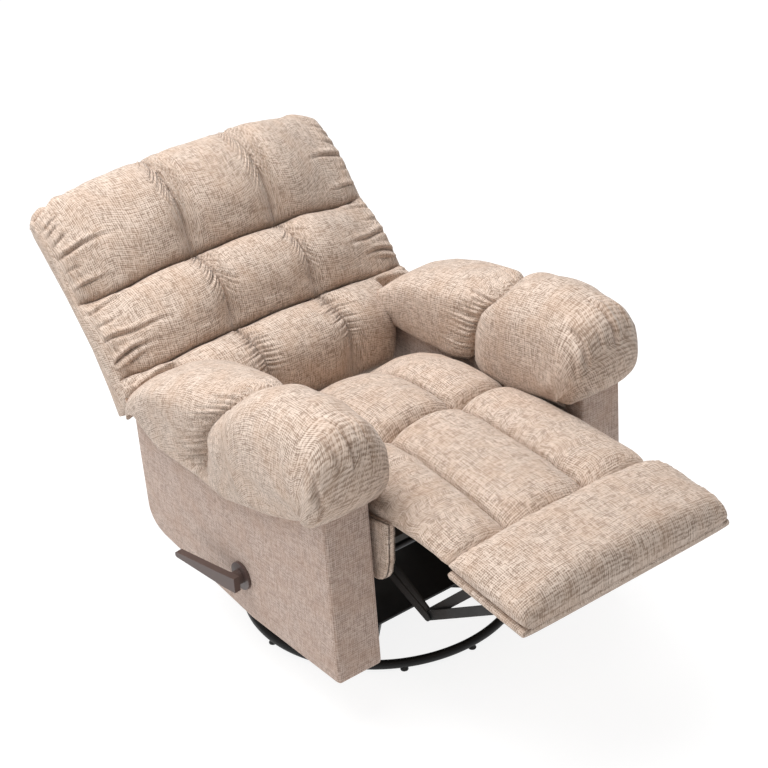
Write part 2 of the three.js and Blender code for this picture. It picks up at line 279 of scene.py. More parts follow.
def rows(tree, uv, axis, stray, pitch=0.0049, height=0.16):
    """Evenly spaced rows of thread across one weave direction, straying a little by a noise value."""
    place = node(tree, "ShaderNodeSeparateXYZ", {"Vector": uv}).outputs[axis]
    phase = math_node(tree, "MULTIPLY", place, 2 * math.pi / pitch)
    phase = math_node(tree, "ADD", phase, math_node(tree, "MULTIPLY", stray, 3.5))
    return math_node(tree, "MULTIPLY", math_node(tree, "SINE", phase), height)


def fabric(name, light, mid, dark, contrast=1.0, bump=1.0):
    """Slubby cross-woven chenille: thin threads both ways, a few darker picks, faint browner patches."""
    material, tree, bsdf = shader(name)
    uv = node(tree, "ShaderNodeUVMap", uv_map="weave").outputs[0]
    fine_u = streaks(tree, uv, 430, 80, 3.1)
    fine_v = streaks(tree, uv, 430, 80, 11.7, turned=True)
    wide_u = streaks(tree, uv, 240, 26, 5.9)
    wide_v = streaks(tree, uv, 240, 26, 17.3, turned=True)
    specks = streaks(tree, uv, 420, 420, 23.0, detail=2.0)
    patches = streaks(tree, uv, 14, 14, 29.0, detail=3.0)
    thread = math_node(tree, "ADD", math_node(tree, "ADD", fine_u, fine_v), math_node(tree, "ADD", wide_u, wide_v))
    thread = math_node(tree, "ADD", thread, math_node(tree, "MULTIPLY", specks, 0.8))
    thread = math_node(tree, "ADD", thread, rows(tree, uv, 0, wide_u))
    thread = math_node(tree, "ADD", thread, rows(tree, uv, 1, wide_v))
    level = node(tree, "ShaderNodeMapRange", {"Value": thread, "From Min": 2.40 - 0.38 / contrast,
                                              "From Max": 2.40 + 0.38 / contrast})
    ramp = node(tree, "ShaderNodeValToRGB", {"Fac": level.outputs[0]})
    ramp.color_ramp.elements[0].color = (*dark, 1)
    ramp.color_ramp.elements[1].color = (*light, 1)
    middle = ramp.color_ramp.elements.new(0.5)
    middle.color = (*mid, 1)
    worn = node(tree, "ShaderNodeMapRange", {"Value": patches, "From Min": 0.40, "From Max": 0.72,
                                             "To Max": 0.34})
    tint = tuple(c * f for c, f in zip(mid, (0.92, 0.78, 0.66)))
    mixed = node(tree, "ShaderNodeMix", data_type="RGBA", blend_type="MIX")
    tree.links.new(worn.outputs[0], mixed.inputs[0])
    tree.links.new(ramp.outputs[0], mixed.inputs[6])
    mixed.inputs[7].default_value = (*tint, 1)
    tree.links.new(mixed.outputs[2], bsdf.inputs["Base Color"])
    bsdf.inputs["Roughness"].default_value = 0.92
    bsdf.inputs["Sheen Weight"].default_value = 0.18
    bsdf.inputs["Sheen Roughness"].default_value = 0.5
    bsdf.inputs["Specular IOR Level"].default_value = 0.2
    relief = node(tree, "ShaderNodeBump", {"Height": thread, "Strength": 0.45 * bump, "Distance": 0.0012})
    tree.links.new(relief.outputs[0], bsdf.inputs["Normal"])
    return material


def painted_steel(name, color, roughness, wear=0.15):
    material, tree, bsdf = shader(name)
    place = node(tree, "ShaderNodeTexCoord").outputs["Object"]
    orange = node(tree, "ShaderNodeTexNoise", {"Vector": place, "Scale": 420.0, "Detail": 2.0})
    dust = node(tree, "ShaderNodeTexNoise", {"Vector": place, "Scale": 18.0, "Detail": 4.0})
    rough = node(tree, "ShaderNodeMapRange", {"Value": dust.outputs["Fac"], "From Min": 0.3, "From Max": 0.7,
                                              "To Min": roughness - wear / 2, "To Max": roughness + wear})
    tree.links.new(rough.outputs[0], bsdf.inputs["Roughness"])
    ramp = node(tree, "ShaderNodeValToRGB", {"Fac": dust.outputs["Fac"]})
    ramp.color_ramp.elements[0].color = (*color, 1)
    ramp.color_ramp.elements[1].color = (*[min(1, c * 1.6 + 0.004) for c in color], 1)
    tree.links.new(ramp.outputs[0], bsdf.inputs["Base Color"])
    relief = node(tree, "ShaderNodeBump", {"Height": orange.outputs["Fac"], "Strength": 0.15, "Distance": 0.0004})
    tree.links.new(relief.outputs[0], bsdf.inputs["Normal"])
    bsdf.inputs["Metallic"].default_value = 0.0
    bsdf.inputs["Specular IOR Level"].default_value = 0.28
    return material


def bare_steel(name):
    material, tree, bsdf = shader(name)
    place = node(tree, "ShaderNodeTexCoord").outputs["Object"]
    grain = node(tree, "ShaderNodeTexNoise", {"Vector": place, "Scale": 160.0, "Detail": 5.0})
    rough = node(tree, "ShaderNodeMapRange", {"Value": grain.outputs["Fac"], "To Min": 0.22, "To Max": 0.5})
    tree.links.new(rough.outputs[0], bsdf.inputs["Roughness"])
    ramp = node(tree, "ShaderNodeValToRGB", {"Fac": grain.outputs["Fac"]})
    ramp.color_ramp.elements[0].color = (0.030, 0.030, 0.032, 1)
    ramp.color_ramp.elements[1].color = (0.070, 0.070, 0.073, 1)
    tree.links.new(ramp.outputs[0], bsdf.inputs["Base Color"])
    bsdf.inputs["Metallic"].default_value = 1.0
    return material


def moulded_plastic(name, color, roughness=0.38):
    material, tree, bsdf = shader(name)
    place = node(tree, "ShaderNodeTexCoord").outputs["Object"]
    grain = node(tree, "ShaderNodeTexNoise", {"Vector": place, "Scale": 900.0, "Detail": 3.0})
    cloud = node(tree, "ShaderNodeTexNoise", {"Vector": place, "Scale": 30.0, "Detail": 3.0})
    ramp = node(tree, "ShaderNodeValToRGB", {"Fac": cloud.outputs["Fac"]})
    ramp.color_ramp.elements[0].color = (*[c * 0.86 for c in color], 1)
    ramp.color_ramp.elements[1].color = (*[c * 1.14 for c in color], 1)
    tree.links.new(ramp.outputs[0], bsdf.inputs["Base Color"])
    relief = node(tree, "ShaderNodeBump", {"Height": grain.outputs["Fac"], "Strength": 0.22, "Distance": 0.0003})
    tree.links.new(relief.outputs[0], bsdf.inputs["Normal"])
    bsdf.inputs["Roughness"].default_value = roughness
    return material


def timber(name):
    material, tree, bsdf = shader(name)
    place = node(tree, "ShaderNodeTexCoord").outputs["Object"]
    mapped = node(tree, "ShaderNodeMapping", {"Vector": place, "Scale": (40.0, 3.0, 60.0)})
    grain = node(tree, "ShaderNodeTexNoise", {"Vector": mapped.outputs[0], "Scale": 2.0, "Detail": 6.0})
    ramp = node(tree, "ShaderNodeValToRGB", {"Fac": grain.outputs["Fac"]})
    ramp.color_ramp.elements[0].color = (0.012, 0.010, 0.008, 1)
    ramp.color_ramp.elements[1].color = (0.026, 0.021, 0.017, 1)
    tree.links.new(ramp.outputs[0], bsdf.inputs["Base Color"])
    bsdf.inputs["Roughness"].default_value = 0.7
    return material


MAT = {
    "cushion": fabric("cushion_chenille", (0.68, 0.56, 0.475), (0.52, 0.41, 0.335), (0.275, 0.20, 0.152), 1.15),
    "panel": fabric("panel_chenille", (0.575, 0.455, 0.39), (0.455, 0.345, 0.29), (0.29, 0.208, 0.168), 0.9, 0.8),
    "black": painted_steel("black_painted_steel", (0.005, 0.005, 0.005), 0.42),
    "steel": bare_steel("bare_steel"),
    "plastic": moulded_plastic("lever_plastic", (0.085, 0.055, 0.048), 0.36),
    "foot": moulded_plastic("foot_plastic", (0.012, 0.012, 0.012), 0.6),
    "timber": timber("seat_timber"),
    "lining": fabric("lining_cloth", (0.016, 0.016, 0.015), (0.010, 0.010, 0.009), (0.005, 0.005, 0.005), 1.0, 0.6),
}


# ---------------------------------------------------------------- backrest
BACK_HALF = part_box("back_cushion_middle")[1].x
TUCKS = (0.172, 0.378, 0.645)                               # upper end of each row, up the back
REAR_LOW, REAR_HIGH = -0.036, -0.006                         # rear face of the backrest, at its foot and top
ROW_POINTS = 128


def back_low(x):
    """Lower end of the backrest: between the arms it reaches the seat, outside it stays behind them."""
    return np.interp(abs(x), [0.250, 0.275, 0.315, 0.339, 0.380, 0.415], [-0.045, -0.022, 0.045, 0.085, 0.104, 0.110])


SIDE_REAR = ([0.10, 0.18, 0.28, 0.42, 0.62], [-0.030, 0.006, 0.040, 0.054, 0.052])


def rear_face(u):
    return REAR_LOW + (REAR_HIGH - REAR_LOW) * smooth((u - 0.10) / 0.54)


def row_arc(p, s_profile, cell, rounded):
    """Height of a row's bulge at p from -1 to 1: a plain arc on a seam, a full puff inside a cell."""
    on_seam = np.cos(math.pi / 2 * p) ** 1.0
    upper = np.clip(1 - np.abs(p) ** 2.5, 0, 1) ** 0.60
    if rounded:
        top = np.clip(1 - np.abs(p) ** 2.7, 0, 1) ** 0.50
        on_seam = np.where(p > 0, 0.35 * on_seam + 0.65 * top, on_seam)
        upper = np.where(p > 0, top, upper)
    return s_profile * on_seam * (1 - cell) + (s_profile + 0.019) * upper * cell


# folds at the ends of the rows: place up the back, lean, length, depth
FOLDS = ((0.606, 0.75, 0.120, 0.013), (0.566, 0.50, 0.060, 0.005), (0.548, 0.45, 0.050, 0.004),
         (0.524, 0.30, 0.060, 0.005), (0.494, 0.12, 0.150, 0.010), (0.455, 0.05, 0.050, 0.004),
         (0.404, 0.14, 0.120, 0.010), (0.386, 0.16, 0.130, 0.010), (0.344, 0.10, 0.130, 0.006),
         (0.300, 0.16, 0.070, 0.004), (0.262, 0.04, 0.190, 0.009), (0.212, 0.16, 0.130, 0.012),
         (0.190, 0.20, 0.100, 0.007), (0.150, 0.20, 0.060, 0.005))


def back_section(x):
    """Closed section of the backrest at x: front rows from the bottom up, over the top, down the rear."""
    ax = abs(x)
    edge = BACK_HALF + 0.001 - ax
    tuck_n = 0.126 - 0.052 * smooth((ax - 0.13) / 0.27)
    swell = 0.066 - 0.036 * smooth((ax - 0.16) / 0.235)
    t = (ax / COLUMN) if ax < COLUMN else (ax - (COLUMN + BACK_HALF) / 2) / ((BACK_HALF - COLUMN) / 2)
    cell = max(0.0, 1 - abs(t) ** 3.2) ** 0.60
    seam_d = abs(ax - COLUMN)
    low_u = float(back_low(x))
    round_end = 1 - max(0.0, 1 - edge / 0.030) ** 2.2 if edge < 0.030 else 1.0
    round_end = math.sqrt(max(0.0, round_end))
    bounds = (low_u,) + TUCKS[:2] + (TUCKS[2] + 0.008 * cell - 0.006,)
    us, ns, weights, local = [], [], [], []
    for row in range(3):
        lo, hi = bounds[row], bounds[row + 1]
        p = np.linspace(-1, 1, ROW_POINTS, endpoint=row == 2)
        p = np.sin(p * math.pi / 2) * 0.35 + p * 0.65
        rise = row_arc(p, swell * (1.10 if row == 2 else 0.98), cell, row == 2)
        base = np.full_like(p, tuck_n)
        if row == 0:
            base = tuck_n - 0.030 * smooth(-p)
        u = (lo + hi) / 2 + p * (hi - lo) / 2
        # each row droops over the one below it, and its own top slips under the one above
        droop = 0.013 * np.exp(-((p + 0.90) / 0.15) ** 2) * (row > 0) + 0.004 * np.exp(-((p - 0.93) / 0.08) ** 2) * (row < 2)
        u = u - droop * smooth(edge / 0.08)
        n = base + rise
        crease = np.exp(-((1 - np.abs(p)) * (hi - lo) / 2 / 0.007) ** 2)
        if row == 2:
            crease = np.where(p > 0, 0, crease)
        if row == 0:
            crease = np.where(p < 0, 0, crease)
        n = n - 0.016 * crease * smooth(edge / 0.05) ** 0.5
        us.append(u)
        ns.append(n)
        weights.append(smooth((p + 0.75) / 1.0) * (0.45 + 0.55 * smooth((1.02 - p) / 0.10) if row < 2 else 1.0))
        local.append(p)
    u, n, w = np.concatenate(us), np.concatenate(ns), np.concatenate(weights)
    if ax > 0.29:
        behind_arm = (0.735 * u - 0.024) / 0.678
        n = np.minimum(n, np.where(u < 0.20, behind_arm, 1.0))
    # over the top and down the rear
    turn = np.linspace(0, 1, 26)[1:]
    top_u, top_n = u[-1], n[-1]
    drop = 0.006 + 0.030 * (1 - round_end)
    rear_top = rear_face(top_u)
    cap_u = top_u + 0.004 * np.sin(turn * math.pi) - drop * turn
    cap_n = top_n + (rear_top + 0.022 - top_n) * turn
    corner = np.linspace(0, math.pi / 2, 7)[1:]
    cor_u = cap_u[-1] - 0.022 * (1 - np.cos(corner))
    cor_n = rear_top + 0.022 - 0.022 * np.sin(corner)
    rear_u = np.linspace(cor_u[-1], low_u + 0.012, 60)[1:]
    rear_n = rear_face(rear_u) - 0.006 * np.sin(np.linspace(0, math.pi, 60)[1:]) * round_end
    low_n = n[0]
    under = np.linspace(0, 1, 14)[1:-1]
    und_n = rear_n[-1] + (low_n - rear_n[-1]) * under
    und_u = low_u + 0.012 - 0.012 * np.sin(under * math.pi / 2)
    count = (len(u), len(turn), len(corner), len(rear_u), len(under))
    u = np.concatenate([u, cap_u, cor_u, rear_u, und_u])
    n = np.concatenate([n, cap_n, cor_n, rear_n, und_n])
    w = np.concatenate([w, 1 - turn * 0.4, np.zeros(count[2] + count[3] + count[4])])
    # rounded at the front of the sides, and the rear wraps up to a narrow side face
    front = np.arange(len(u)) < count[0]
    n = np.where(front, 0.076 + (n - 0.076) * (0.34 + 0.66 * round_end), n)
    wrap = math.sqrt(max(0.0, 1 - max(0.0, 1 - edge / 0.150) ** 2))
    side_n = np.interp(u, SIDE_REAR[0], SIDE_REAR[1])
    rear = (np.arange(len(u)) >= count[0] + 12)
    n = np.where(rear & (n < side_n), side_n + (n - side_n) * wrap, n)
    fall = 0.19 * max(0.0, 1 - edge / 0.090) ** 2
    u = np.where(u > 0.5, 0.5 + (u - 0.5) * (1 - fall), u)
    return u, n, w, edge, seam_d


def build_back():
    xs = stations(-BACK_HALF, BACK_HALF, 0.0085, (-COLUMN, COLUMN, -BACK_HALF, BACK_HALF), reach=0.040, ratio=0.17)
    rings, sections = [], []
    for x in xs:
        u, n, w, edge, seam_d = back_section(x)
        du, dn = np.gradient(u), np.gradient(n)
        size = np.hypot(du, dn) + 1e-9
        length = np.cumsum(np.hypot(np.diff(u, prepend=u[0]), np.diff(n, prepend=n[0])))
        side = 0 if x < 0 else 50
        front = np.clip(w, 0, 1)
        push = gathers(length, seam_d, 41 + side, pitch=0.0125, reach=0.024, height=0.0115) * front
        push -= 0.0150 * math.exp(-(seam_d / 0.0036) ** 2) * front
        for place, lean, reach, depth in FOLDS:
            line = u - place - lean * edge + 1.1 * edge ** 2 + 0.003 * math.sin(edge / 0.021 + place * 40)
            strength = smooth(edge / 0.010) * smooth((reach - edge) / (reach * 0.7))
            crease = -np.exp(-(line / 0.0040) ** 2) + 0.60 * np.exp(-((line - 0.0095) / 0.0075) ** 2)
            push += depth * strength * (w > 0) * (crease + 0.35 * np.exp(-((line + 0.012) / 0.010) ** 2))
        push += gathers(length, edge + 0.002, 71 + side, pitch=0.021, reach=0.030, height=0.0030) * (w > 0)
        push += 0.0026 * wobble(np.full_like(length, x) / 0.23 + length / 0.31, 90) * (w > 0)
        u = u - dn / size * push
        n = n + (du / size) * push
        sections.append((x, u, n))
        rings.append(back_point(x, u, n))
    # soft side faces, slightly swollen: the section closes towards its own middle line
    for end in (0, -1):
        x, u, n = sections[end]
        middle = 0.035 + (u - 0.10) * 0.083
        centre = (u.min() + u.max()) / 2
        made = []
        for grow, shrink in ((0.0022, 0.93), (0.0040, 0.80), (0.0055, 0.55), (0.0062, 0.25), (0.0064, 0.03)):
            inner_u = centre + (u - centre) * (1 - 0.05 * (1 - shrink))
            made.append(back_point(x + (grow if end else -grow), inner_u, middle + (n - middle) * shrink))
        rings = made[::-1] + rings if end == 0 else rings + made
    cover = loft("back_cushions", rings)
    finish_piece(cover, "back", MAT["cushion"],
                 ["back_shell", "back_cushion_lower", "back_cushion_middle", "back_cushion_top"])
    plane = back_point(0.0, 0.0, 0.0)
    tuple(back_point(0.0, 0.0, 1.0) - plane)
    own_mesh(cover)


# ---------------------------------------------------------------- seat and footrest pads
def pad_section(around, half, low, high, side_round=2.8):
    a, b = superloop(around, half, (high - low) / 2, side_round)
    return a, b + (high + low) / 2


def channel_pad(name, y_near, y_far, profile, seams_at, columns=True, seed=5, around=440, ends=(0.05, 0.05)):
    """Pad swept along y from y_near (rear) to y_far (front); profile(y) gives half width, low and high."""
    ys = stations(-y_near, -y_far, 0.009, (-y_near, -y_far), reach=0.05) * -1
    rings = []
    for y in ys:
        half, low, high = profile(y)
        rear_end = np.clip((ends[0] - (y_near - y)) / ends[0], 0, 1)
        front_end = np.clip((ends[1] - (y - y_far)) / ends[1], 0, 1)
        shrink = math.sqrt(max(0.0, 1 - max(rear_end, front_end) ** 2.3))
        a, z = pad_section(around, half - 0.012 * (1 - shrink), low, high)
        mid = (low + high) / 2
        drop = 0.30 + 0.70 * shrink
        z = low + 0.35 * (mid - low) * (1 - shrink) + (z - low) * drop
        top = smooth((z - mid) / (high - mid) / 0.8)
        out = np.zeros(around)
        if columns:
            at = seams_at(y)
            edges = [-half - 0.03, -at, at, half + 0.03]
            arc = cell_arc(np.clip(a, -half, half), edges)
            dist = np.minimum(np.abs(a - at), np.abs(a + at))
            out -= (0.040 * (1 - arc) + 0.013 * np.exp(-(dist / 0.0034) ** 2) - 0.003) * top
            out += gathers(np.full(around, y), dist, seed, pitch=0.024, reach=0.016, height=0.0016) * top
        out += gathers(a, abs(y - y_near) + 0.002, seed + 3, pitch=0.040, reach=0.020, height=0.0022) * top
        out += gathers(a, abs(y - y_far) + 0.002, seed + 5, pitch=0.036, reach=0.022, height=0.0024) * top
        out += 0.0018 * wobble(a / 0.21 + y / 0.17, seed + 8) * top
        rings.append(np.stack([a, np.full(around, y), z + out], axis=1))
    return loft(name, rings)


def y_at(value):
    return BASE_Y + value


def lerp_profile(table):
    """table: rows of y, half width, low, high, with y falling."""
    rows = np.array(table)[::-1]
    return lambda y: tuple(np.interp(y - BASE_Y, rows[:, 0], rows[:, k]) for k in (1, 2, 3))


def board_point(x, y, z):
    """Footrest board frame to the row frame: y runs back along the board, z out of its padded face."""
    c, s = math.cos(BOARD_ANGLE), math.sin(BOARD_ANGLE)
    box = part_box("footrest_board")
    rear_low = Vector((0, box[1].y + 0.016 * s, 0.489))
    return np.stack(np.broadcast_arrays(x, rear_low.y + y * c - z * s, rear_low.z + y * s + z * c), axis=-1)


def build_seat():
    rear = lerp_profile([(0.226, 0.246, 0.420, 0.438), (0.185, 0.251, 0.430, 0.468), (0.16, 0.258, 0.430, 0.488), (0.13, 0.262, 0.430, 0.513),
                         (0.09, 0.266, 0.430, 0.537), (0.04, 0.268, 0.430, 0.557), (-0.03, 0.270, 0.430, 0.570),
                         (-0.10, 0.270, 0.430, 0.572), (-0.15, 0.270, 0.430, 0.566), (-0.185, 0.268, 0.430, 0.556)])
    row = channel_pad("seat_rear_row", y_at(0.226), y_at(-0.184), rear, lambda y: CHANNEL, seed=61,
                      ends=(0.030, 0.040))
    finish_piece(row, "seat", MAT["cushion"], ["seat_cushion"])
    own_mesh(row)

    front = lerp_profile([(-0.180, 0.266, 0.440, 0.562), (-0.22, 0.270, 0.445, 0.574), (-0.30, 0.274, 0.462, 0.577),
                          (-0.40, 0.274, 0.482, 0.571), (-0.50, 0.275, 0.490, 0.561), (-0.57, 0.278, 0.494, 0.550),
                          (-0.615, 0.280, 0.494, 0.532)])
    width = lambda y: CHANNEL + 0.010 * smooth((-0.18 - (y - BASE_Y)) / 0.44)
    long_pad = channel_pad("seat_channels", y_at(-0.180), y_at(-0.614), front, width, seed=73, ends=(0.040, 0.034))
    finish_piece(long_pad, None, MAT["cushion"], ["chaise_pad"])
    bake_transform(long_pad)


def footrest_pad():
    """Short cross pad on the board, drawn in to the board's edge along its front and sides."""
    length = 0.2272
    ys = stations(-0.008, length, 0.006, (0.0, length), reach=0.05) * -1
    around = 300
    low = 0.0185
    rings = []
    for y in ys:
        front = np.clip((0.052 - (y + length)) / 0.052, 0, 1)
        rear = np.clip((0.070 - (0.008 - y)) / 0.070, 0, 1)
        f = max(0.0, 1 - front ** 2.2) ** 0.5
        r = max(0.0, 1 - rear ** 2.2) ** 0.60
        rise = 0.010 + 0.064 * min(f, r)
        half = BOARD_HALF + 0.0005 - 0.009 * (1 - f) - 0.005 * (1 - r)
        a, z = superloop(around, half, 1.0, 2.9)
        arch = 1 - 0.14 * np.abs(a / half) ** 2.2
        z = low + rise * ((z + 0.42) / 1.42 * arch).clip(0, None) - 0.004 * (z < -0.42)
        a = a * (1 - 0.020 * smooth((low + 0.012 - z) / 0.014))
        top = smooth((z - low - 0.004) / 0.02)
        out = gathers(a, abs(y + length) + 0.002, 91, pitch=0.040, reach=0.034, height=0.0034) * top
        out += gathers(a, abs(y - 0.008) + 0.002, 95, pitch=0.030, reach=0.030, height=0.0040) * top
        out += gathers(y, half - np.abs(a) + 0.002, 99, pitch=0.034, reach=0.034, height=0.0030) * top
        out += 0.0030 * wobble(a / 0.19 + y / 0.2, 97) * top
        rings.append(board_point(a, y, z + out))
    return loft("footrest_top_pad", rings)


def rounded_slab(name, outline, x0, x1, radius, steps=5):
    """Slab over an outline in the side plane between two x values, edges rounded."""
    pts = np.asarray(outline, float)
    pts = resample(pts, 0.012)
    centre = (pts.min(0) + pts.max(0)) / 2
    size = pts.max(0) - pts.min(0)
    rings = []
    turns = [math.pi / 2 * i / steps for i in range(steps + 1)]
    low, high = min(x0, x1), max(x0, x1)
    marks = [(low + radius * (1 - math.cos(t)), radius * (1 - math.sin(t))) for t in turns]
    marks += [(low + (high - low) * k / 6, 0.0) for k in range(1, 6)]
    marks += [(high - radius * (1 - math.cos(t)), radius * (1 - math.sin(t))) for t in reversed(turns)]
    for x, inset in marks:
        ring = centre + (pts - centre) * (1 - 2 * inset / size)
        rings.append(np.stack([np.full(len(pts), x), ring[:, 0], ring[:, 1]], axis=1))
    return loft(name, rings, flat=True)


def resample(points, step):
    """Closed outline with points about one step apart, corners kept."""
    out = []
    for p, q in zip(points, np.roll(points, -1, axis=0)):
        n = max(1, int(round(np.linalg.norm(q - p) / step)))
        out += [p + (q - p) * k / n for k in range(n)]
    return np.array(out)


def arc_points(centre, radius, start, stop, n=7):
    t = np.radians(np.linspace(start, stop, n))
    return [(centre[0] + radius * math.cos(v), centre[1] + radius * math.sin(v)) for v in t]


# ---------------------------------------------------------------- arms
ARM_MID = (ARM_IN + ARM_OUT) / 2
CREST = [[-0.345, 0.786], [-0.30, 0.794], [-0.22, 0.786], [-0.12, 0.766], [-0.06, 0.752], [0.0, 0.734], [0.06, 0.718],
         [0.13, 0.697], [0.20, 0.671], [0.26, 0.642], [0.31, 0.606], [0.345, 0.566]]
LOWER_OUT = [[-0.345, 0.556], [-0.295, 0.535], [-0.211, 0.506], [-0.125, 0.486], [-0.03, 0.464], [0.06, 0.474],
             [0.14, 0.474], [0.233, 0.474], [0.293, 0.498], [0.330, 0.530], [0.345, 0.548]]
SEAM_OUT = [[0.450, 0.075], [0.494, 0.055], [0.607, 0.008], [0.694, -0.044], [0.745, -0.082], [0.80, -0.105]]
SEAM_IN = [[0.500, -0.020], [0.533, -0.031], [0.602, -0.050], [0.672, -0.071], [0.745, -0.112], [0.80, -0.125]]


def table(rows, at):
    rows = np.array(rows)
    return np.interp(at, rows[:, 0], rows[:, 1])


def closed_spline(points, count):
    """Catmull-Rom loop through points, resampled evenly by length."""
    p = np.asarray(points, float)
    q = [np.roll(p, k, axis=0) for k in (1, 0, -1, -2)]
    t = np.linspace(0, 1, 24, endpoint=False)[:, None, None]
    curve = 0.5 * (2 * q[1] + (q[2] - q[0]) * t + (2 * q[0] - 5 * q[1] + 4 * q[2] - q[3]) * t ** 2
                   + (3 * q[1] - q[0] - 3 * q[2] + q[3]) * t ** 3)
    curve = curve.transpose(1, 0, 2).reshape(-1, p.shape[1])
    closed = np.vstack([curve, curve[:1]])
    length = np.concatenate([[0], np.cumsum(np.linalg.norm(np.diff(closed, axis=0), axis=1))])
    want = np.linspace(0, length[-1], count, endpoint=False)
    return np.stack([np.interp(want, length, closed[:, k]) for k in range(p.shape[1])], axis=1)


def pillow_section(top, z_out, z_in, wide, count, mid=0.640, lip=1.0):
    """Section of an arm pillow from its inner lower edge over the top to its outer lower edge."""
    rise = top - mid
    points = [(-0.050, z_in - 0.012 * lip), (-0.068, z_in), (-0.095 * wide, z_in + 0.026 * lip),
              (-0.109 * wide, mid - 0.030), (-0.103 * wide, mid + 0.42 * rise), (-0.078 * wide, mid + 0.76 * rise),
              (-0.038 * wide, mid + 0.95 * rise), (0.006 * wide, top), (0.048 * wide, mid + 0.92 * rise),
              (0.082 * wide, mid + 0.68 * rise), (0.101 * wide, mid + 0.30 * rise), (0.104 * wide, mid - 0.018),
              (0.094 * wide, (mid + z_out) / 2), (0.084, z_out + 0.016 * lip), (0.070, z_out), (0.040, z_out + 0.006 * lip),
              (0.0, (z_in + z_out) / 2 + 0.02 * lip)]
    return closed_spline(points, count)


FAN = [[0, 0.226], [14, 0.2255], [24, 0.208], [35, 0.162], [47, 0.122], [56, 0.099], [65, 0.076], [74, 0.056], [90, 0.038]]


def pillow(sign):
    """Slices from the rear end forward, then a fan of slices over the front down to the front panel."""
    around = 300
    pivot = np.array([-0.345, 0.560])
    slices = []
    ys = -stations(-0.345, 0.345, 0.007, (-0.345, -0.02, 0.08), reach=0.06)
    for y in ys:
        end = max(0.0, (y - 0.270) / 0.076)
        wide = 0.74 + 0.26 * math.sqrt(max(0.0, 1 - end ** 2.4))
        top = table(CREST, y)
        z_out = table(LOWER_OUT, y)
        z_in = 0.502 + 0.030 * smooth((-y - 0.15) / 0.2)
        mid = min(0.640, top - 0.045)
        ring = pillow_section(top, z_out, min(z_in, mid - 0.04), wide, around, mid)
        slices.append((np.stack([ring[:, 0], np.full(around, y), ring[:, 1]], axis=1), 0.0))
    rise = table(CREST, pivot[0]) - pivot[1]
    steps = 34
    for k in range(1, steps + 1):
        f = k / steps
        turn = FAN[-1][0] * f
        phi = math.radians(90 + turn)
        reach = table(FAN, turn)
        wide = 1 - 0.14 * smooth((turn - 45) / 30)
        mid_r = 0.080 * (1 - 0.30 * f) * (reach / rise) ** 0.5
        lip = min(1.0, reach / 0.16) * (1 - 0.75 * f)
        ring = pillow_section(reach, -0.004 * (1 - f) + 0.012 * f, -0.028 * (1 - f), wide, around,
                              min(mid_r, reach * 0.60), lip)
        y = pivot[0] + ring[:, 1] * math.cos(phi)
        z = pivot[1] + ring[:, 1] * math.sin(phi)
        slices.append((np.stack([ring[:, 0], y, z], axis=1), f))
    rings = []
    for index, (ring, f) in enumerate(slices):
        core = ring.mean(axis=0)
        tangent = np.roll(ring, -1, axis=0) - np.roll(ring, 1, axis=0)
        along = slices[min(index + 1, len(slices) - 1)][0] - slices[max(index - 1, 0)][0]
        out = np.cross(tangent, along)
        out /= np.linalg.norm(out, axis=1)[:, None] + 1e-9
        out *= np.sign(np.sum(out * (ring - core), axis=1))[:, None] + (np.sum(out * (ring - core), axis=1) == 0)[:, None]
        x, y, z = ring.T
        girth = np.concatenate([[0], np.cumsum(np.linalg.norm(np.diff(ring, axis=0), axis=1))])
        over = smooth((z - table(LOWER_OUT, np.clip(y, -0.345, 0.345)) - 0.004) / 0.03)
        blend = smooth((0.06 - x) / 0.12)
        seam = table(SEAM_OUT, z) * (1 - blend) + table(SEAM_IN, z) * blend
        e = y - seam
        behind = e > 0
        dip = np.where(behind, 0.026 * np.exp(-np.abs(e) / 0.042), 0.030 * np.clip(1 - np.abs(e) / 0.085, 0, 1) ** 2.3)
        dip += 0.005 * np.exp(-(e / 0.004) ** 2)
        seed = 131 + (0 if sign > 0 else 9)
        puck = gathers(girth, np.abs(e), seed, pitch=0.0165, reach=0.040, height=0.0095) * np.where(behind, 1, 0.22)
        shift = -dip + puck
        before = np.degrees((y + 0.345) / 0.226) * (f == 0)
        if before.min() < 12:
            shift += front_pleats(x, f * FAN[-1][0] - before, PLEATS[sign]) * 0.8
        shift += 0.0030 * wobble(y / 0.27 + girth / 0.33, seed + 40)
        rings.append(ring + out * (shift * over)[:, None])
    body = np.array(rings)
    body[:, :, 0] = sign * (body[:, :, 0] + ARM_MID)
    body[:, :, 1] += BASE_Y
    return body


# pleats on the front of each pillow: offset across, start and stop angle over the front, lean, depth
PLEATS = {
    1: [(-0.096, 16, 42, 0.004, 0.011), (-0.076, 2, 37, 0.006, 0.013), (-0.040, 8, 35, 0.004, 0.006),
        (0.000, -2, 35, 0.006, 0.013), (0.044, 4, 31, 0.004, 0.006)],
    -1: [(-0.042, 0, 37, -0.004, 0.008), (-0.018, 6, 33, 0.003, 0.004), (0.004, -3, 36, -0.008, 0.013),
         (0.040, 2, 31, -0.005, 0.007), (0.084, 14, 46, -0.008, 0.013), (0.088, 40, 76, 0.010, 0.012)]}


def front_pleats(x, angle, pleats):
    shift = np.zeros_like(x)
    for at, start, stop, lean, depth in pleats:
        line = at - lean * (stop - angle) / 30
        strength = smooth((angle - start) / 14) * smooth((stop - angle) / 4)
        side = (x - line) / 0.0040
        shift += depth * strength * (-np.exp(-side ** 2) + 0.55 * np.exp(-((side - 2.2) / 1.9) ** 2))
    return shift


